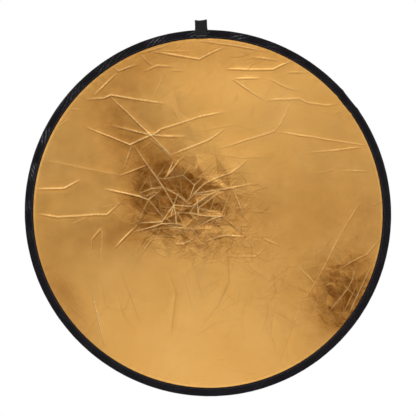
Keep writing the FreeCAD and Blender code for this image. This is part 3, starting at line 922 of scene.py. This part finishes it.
def webbing_path():
    """The strip's middle line in side view, from its front end over the crown to its back end.

    Gives depth, height and the distance along it for evenly spaced points.
    """
    outside = LOOP_OUTSIDE - WEBBING / 2
    foot = -tail_high.y + WEBBING / 2
    crown = LOOP_TOP - WEBBING / 2 - outside
    bend = np.linspace(0, math.pi, 25)
    corner_height = RIM_TOP - NOSE
    front = [(-foot, RIM_TOP - (RADIUS - INNER_EDGE)), (-outside, corner_height), (-outside, RIM_TOP)]
    rise = [(-outside * (1 + 0.03 * math.sin(math.pi * share)), RIM_TOP + (crown - RIM_TOP) * share)
            for share in (0.35, 0.7)]
    over = [(-outside * math.cos(turn), crown + outside * math.sin(turn)) for turn in bend]
    fall = [(-depth, height) for depth, height in rise[::-1]]
    back = [(-depth, height) for depth, height in front[::-1]]
    corners = np.array(front + rise + over + fall + back)
    steps = np.linalg.norm(np.diff(corners, axis=0), axis=1)
    passed = np.concatenate([[0], np.cumsum(steps)])
    even = np.linspace(0, passed[-1], WEBBING_STEPS)
    depth = np.interp(even, passed, corners[:, 0])
    height = np.interp(even, passed, corners[:, 1])
    for _ in range(8):
        depth[1:-1] = (depth[:-2] + 2 * depth[1:-1] + depth[2:]) / 4
        height[1:-1] = (height[:-2] + 2 * height[1:-1] + height[2:]) / 4
    return depth, height, even


def make_webbing(material):
    """The strip of webbing: woven ribs along it, pressed flat where it is sewn to the rim."""
    width_count = 64
    depth, height, passed = (line[:, None] for line in webbing_path())
    run_depth, run_height = np.gradient(depth, axis=0), np.gradient(height, axis=0)
    pace = np.hypot(run_depth, run_height)
    out_depth, out_height = -run_height / pace, run_depth / pace
    share = np.linspace(-1, 1, width_count)
    widths = share * WEBBING_HALF
    standing = smooth((height - RIM_TOP) / (3 * MM))
    # Folded webbing turns up at both edges of the fold, so the crown is hollow across.
    crown = smooth((height - (LOOP_TOP - 8 * MM)) / (8 * MM))
    lift = 1.7 * MM * crown * (share ** 2 - 0.25)
    weft_pitch, warp_pitch = 1.15 * MM, 1.25 * MM
    weft = np.sin(2 * math.pi * passed / weft_pitch)
    warp = np.sin(math.pi * widths / warp_pitch)
    weave = 0.07 * MM * weft * np.sign(warp) * np.abs(warp) ** 0.6 + 0.05 * MM * np.abs(warp)
    edge = np.sqrt(1 - np.abs(share) ** 14)
    sag = 0.25 * MM * standing * np.sin(math.pi * share * 0.9 + 0.4)
    flare = 1 + 0.035 * np.exp(-((height - RIM_TOP) / (3 * MM)) ** 2)
    sheets = []
    for face in (1, -1):
        push = face * (WEBBING / 2 + weave) * edge + sag
        sheets.append(np.stack([widths * flare, depth + push * out_depth,
                                height + push * out_height + lift], axis=-1))
    outer, inner = sheets
    points = np.concatenate([outer, inner[:, ::-1]], axis=1)
    uv = np.stack(np.broadcast_arrays(widths, passed), axis=-1)
    uv = np.concatenate([uv, uv[:, ::-1]], axis=1)
    columns = points.shape[1]
    faces = grid_faces(WEBBING_STEPS, columns, closed_columns=True).tolist()
    for row, flip in ((0, False), (WEBBING_STEPS - 1, True)):
        for column in range(width_count - 1):
            a = row * columns + column
            b = row * columns + columns - 1 - column
            quad = [a, b, b - 1, a + 1]
            faces.append(quad[::-1] if flip else quad)
    strip = make_mesh("hanging_loop", points, faces, uv=uv)
    strip.data.materials.append(material)
    return strip


def make_tacks(material):
    """Rows of close upright stitches across the webbing, on both faces of the rim."""
    chance = np.random.default_rng(21)
    stitch_length, stitches_across, tilt = 2.2 * MM, 26, 0.18
    depth, height, _ = webbing_path()
    tack_low, tack_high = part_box("loop_tacks")
    half = WEBBING_STEPS // 2
    at = np.interp((tack_low.z + tack_high.z) / 2, height[:half], np.arange(half))
    row = int(round(at))
    run = unit(np.array([0, depth[row + 2] - depth[row - 2], height[row + 2] - height[row - 2]]))
    outward = np.array([0, -run[2], run[1]])
    centre = np.array([0, depth[row], height[row]]) + outward * (WEBBING / 2 + 0.1 * MM)
    middles, alongs, outs = [], [], []
    for mirror in (1, -1):
        flip = np.array([1, mirror, 1])
        for number, x in enumerate(np.linspace(tack_low.x, tack_high.x, stitches_across)):
            lean = tilt if number % 2 else -tilt
            middles.append((centre + (x, 0, 0)) * flip)
            alongs.append((run + (lean, 0, 0)) * flip)
            outs.append(outward * flip)
    length = stitch_length * chance.uniform(0.95, 1.05, len(middles))
    return many_stitches("loop_tacks_sewn", np.array(middles), np.array(alongs), np.array(outs),
                         length, 2 * THREAD, material)


# ------------------------------------------------------------------ hoop and splice

def hoop_piece(name, angle, half_thick, half_width, corner, material, bore=None, shape=1.0):
    """A rounded flat bar bent round the hoop's line; with a bore it is a tube.

    The shape makes it thinner or thicker along its length.
    """
    turn = np.linspace(0, 2 * math.pi, 24, endpoint=False)
    cosine, sine = np.cos(turn), np.sin(turn)
    bend = BAND_OUTSIDE - BAND_THICKNESS / 2
    angle = angle[:, None]

    def wall(thick, width):
        across = thick * np.sign(cosine) * np.abs(cosine) ** (2 / corner)
        wide = width * np.sign(sine) * np.abs(sine) ** (2 / corner)
        return on_disc(bend + across * shape, angle, wide)

    points = wall(half_thick, half_width)
    uv = np.stack(np.broadcast_arrays(angle * bend, turn * half_width), axis=-1)
    if bore is None:
        faces = capped_faces(len(points), len(turn))
    else:
        # The tube's inside is laid back from its far end, so that one grid covers it all.
        points = np.concatenate([points, wall(*bore)[::-1]])
        uv = np.concatenate([uv, uv[::-1]])
        faces = grid_faces(len(points), len(turn), closed_rows=True, closed_columns=True)
    bar = make_mesh(name, points, faces, uv=uv)
    bar.data.materials.append(material)
    return bar


def make_hoop(materials):
    """The spring band with its ends parted in the sleeve, the crimped sleeve and its wrap."""
    gap = 0.5 * MM / RADIUS
    sweep = np.linspace(SPLICE_ANGLE + gap, SPLICE_ANGLE + 2 * math.pi - gap, 900)
    band = hoop_piece("spring_band", sweep, BAND_THICKNESS / 2, BAND_HALF_WIDTH, 8,
                      materials["spring_steel"])
    near = np.linspace(-1, 1, 61)[:, None]
    crimps = 1 - 0.12 * np.exp(-((np.abs(near) - 0.55) / 0.08) ** 2)
    sleeve = hoop_piece("splice_sleeve_crimped", SPLICE_ANGLE + near[:, 0] * SLEEVE_HALF / BAND_OUTSIDE,
                        0.75 * MM, sleeve_high.y, 5, materials["sleeve_metal"],
                        bore=(0.45 * MM, BAND_HALF_WIDTH + 0.05 * MM), shape=crimps)
    near = np.linspace(-1, 1, 91)[:, None]
    ends = 1 - 0.1 * smooth((np.abs(near) - 0.84) / 0.1)
    wrap = hoop_piece("splice_wrap_shrunk", SPLICE_ANGLE + near[:, 0] * WRAP_HALF / BAND_OUTSIDE,
                      0.92 * MM, wrap_high.y, 5, materials["wrap_plastic"],
                      bore=(0.77 * MM, sleeve_high.y + 0.02 * MM), shape=ends)
    return band, sleeve, wrap


# ------------------------------------------------------------------ build the disc

materials = {
    "gold_cloth": coated_cloth("gold_cloth", pale=(0.85, 0.470, 0.138), deep=(0.79, 0.405, 0.098),
                               half_shade_tone=(0.52, 0.235, 0.052), deep_shade_tone=(0.19, 0.061, 0.006),
                               worn_and_highlight_tone=(0.98, 0.66, 0.28)),
    "silver_cloth": coated_cloth("silver_cloth", pale=(0.80, 0.81, 0.83), deep=(0.72, 0.73, 0.75),
                                 half_shade_tone=(0.69, 0.69, 0.71), deep_shade_tone=(0.58, 0.58, 0.60),
                                 worn_and_highlight_tone=(0.95, 0.95, 0.96)),
    "binding_tape": tape_material(),
    "webbing": webbing_material(),
    "thread": thread_material(),
    "spring_steel": steel_material("spring_steel", (0.42, 0.43, 0.46), (0.28, 0.30, 0.36), 0.34),
    "sleeve_metal": steel_material("sleeve_metal", (0.66, 0.66, 0.65), (0.52, 0.52, 0.5), 0.3),
    "wrap_plastic": shrink_tube_material(),
}

gold = make_cloth("gold_face", 1, 640, materials["gold_cloth"])
silver = make_cloth("silver_back", -1, 400, materials["silver_cloth"])
binding = make_binding(materials["binding_tape"])
front_seam = make_seam("front_seam", 1, materials["thread"], 31)
back_seam = make_seam("back_seam", -1, materials["thread"], 32)
band, sleeve, wrap = make_hoop(materials)
webbing = make_webbing(materials["webbing"])
tacks = make_tacks(materials["thread"])

# ------------------------------------------------------------------ hide the frame's parts that the pieces replace, and tie the tacks to the upper half

for piece, nodes in (
        (gold, ("gold_face_upper", "gold_face_lower")),
        (silver, ("silver_back_upper", "silver_back_lower")),
        (binding, ("binding_upper", "binding_lower")),
        (front_seam, ("front_seam_upper", "front_seam_lower")),
        (back_seam, ("back_seam_upper", "back_seam_lower")),
        (band, ("spring_band_upper", "spring_band_lower")),
        (sleeve, ("splice_sleeve",)),
        (wrap, ("splice_wrap",))):
    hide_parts(*nodes)
    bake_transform(piece)

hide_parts("hang_loop", "loop_tail_front", "loop_tail_back")
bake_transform(webbing)
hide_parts("loop_tacks")
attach(tacks, "upper_half")

# ------------------------------------------------------------------ camera, floor and light

VIEW_WIDTH = 681 * MM                  # what the picture takes in at the disc
PICTURE_CENTRE = (0.1 * MM, 8.3 * MM)  # from the disc's centre to the picture's, as seen
SENSOR = 36.0                          # width of the camera's sensor, in its millimetres
LENS = 85.0                            # focal length, in the same


def make_camera():
    """Straight in front of the disc, rolled so that the disc leans as it hangs."""
    data = bpy.data.cameras.new("camera")
    data.lens = LENS
    data.sensor_width = SENSOR
    camera = bpy.data.objects.new("camera", data)
    across, up = PICTURE_CENTRE
    cosine, sine = math.cos(LEAN), math.sin(LEAN)
    camera.location = (across * cosine + up * sine, -VIEW_WIDTH * LENS / SENSOR,
                       CENTRE_Z + up * cosine - across * sine)
    camera.rotation_euler = (math.pi / 2, LEAN, 0)
    bpy.context.scene.collection.objects.link(camera)
    bpy.context.scene.camera = camera


def make_floor():
    """A plain pale round floor below the hanging disc."""
    floor_radius, floor_drop, sides = 1.35, 0.33, 96
    turn = np.linspace(0, 2 * math.pi, sides, endpoint=False)
    level = CENTRE_Z - RADIUS - floor_drop
    points = np.stack([floor_radius * np.cos(turn), floor_radius * np.sin(turn),
                       np.full(sides, level)], axis=-1)
    floor = make_mesh("floor", points, [list(range(sides))])
    nodes = Surface("floor")
    place = nodes.add("TexCoord").outputs["Object"]
    speckle = nodes.noise(place, 40.0)
    nodes.colour(nodes.mix(speckle, (0.86, 0.86, 0.86), (0.9, 0.9, 0.9)))
    nodes.roughness(nodes.spread(speckle, 0.3, 0.7, 0.7, 0.8))
    floor.data.materials.append(nodes.material)


def make_light(name, place, target, size, power):
    """A soft square light that faces a point."""
    data = bpy.data.lights.new(name, "AREA")
    data.shape = "RECTANGLE"
    data.size, data.size_y = size
    data.energy = power
    light = bpy.data.objects.new(name, data)
    light.location = place
    light.rotation_euler = (Vector(target) - Vector(place)).to_track_quat("-Z", "Y").to_euler()
    bpy.context.scene.collection.objects.link(light)


# What the studio gives from each side: a direction, how narrow it is, and its brightness.
STUDIO_SIDES = [
    ((-0.03, -1.0, -0.085), 110.0, 0.46),  # a wide soft light in front, below the camera
    ((-0.01, -1.0, 0.10), 260.0, 0.80),    # and a smaller one above it
    ((-0.075, -1.0, 0.03), 240.0, -0.85),  # the dark camera and its operator
    ((-0.17, -1.0, 0.04), 110.0, -0.13),   # dim openings to the left and right
    ((0.17, -1.0, -0.03), 130.0, -0.32),
    ((0.05, -0.92, 0.44), 200.0, 2.4),     # bright lamps in a ring round them
    ((-0.46, -0.90, 0.12), 160.0, 1.8),
    ((-0.33, -0.90, 0.33), 160.0, 1.2),
    ((0.48, -0.90, 0.05), 160.0, 1.4),
    ((0.42, -0.90, -0.26), 160.0, 1.6),
    ((0.0, -0.92, -0.44), 160.0, 0.5),
    ((0.0, 0.2, 1.0), 3.0, 0.2),           # the ceiling
    ((0.25, 1.0, 0.35), 30.0, 0.5),        # behind, a soft light and two lamps
    ((-0.45, 0.90, 0.15), 160.0, 1.8),
    ((0.05, 0.92, -0.40), 160.0, 1.2),
    ((0.05, 1.0, 0.0), 90.0, -0.3),
]
STUDIO_BASE = 0.70      # the brightness of all sides, before those are added
STUDIO_DARKEST = 0.02   # and the least that any side gives


def make_studio():
    """Even white behind the disc, and a soft uneven light from the room round it."""
    world = bpy.data.worlds.new("studio")
    bpy.context.scene.world = world
    world.use_nodes = True
    nodes = Nodes(world.node_tree)
    background = nodes.tree.nodes["Background"]
    background.inputs["Color"].default_value = (1.0, 1.0, 1.0, 1.0)
    direction = nodes.add("TexCoord").outputs["Generated"]
    total = None
    for side, sharpness, strength in STUDIO_SIDES:
        facing = nodes.add("VectorMath", operation="DOT_PRODUCT")
        facing.inputs[1].default_value = Vector(side).normalized()
        nodes.join(direction, facing.inputs[0])
        near = nodes.maths("MAXIMUM", facing.outputs["Value"], 0.0)
        glow = nodes.maths("MULTIPLY", nodes.maths("POWER", near, sharpness), strength)
        total = glow if total is None else nodes.maths("ADD", total, glow)
    total = nodes.maths("MAXIMUM", nodes.maths("ADD", total, STUDIO_BASE), STUDIO_DARKEST)
    seen = nodes.add("LightPath").outputs["Is Camera Ray"]
    lit = nodes.maths("MULTIPLY", nodes.maths("SUBTRACT", 1.0, seen), total)
    nodes.join(nodes.maths("ADD", lit, seen), background.inputs["Strength"])


make_camera()
make_floor()
make_studio()
disc_middle = (0, 0, CENTRE_Z)
make_light("left_light", (-2.0, -1.4, CENTRE_Z + 1.6), disc_middle, (0.8, 0.8), 40)
make_light("right_light", (2.0, -1.6, CENTRE_Z + 0.9), disc_middle, (1.0, 1.0), 25)
bpy.context.scene.view_settings.view_transform = "Standard"
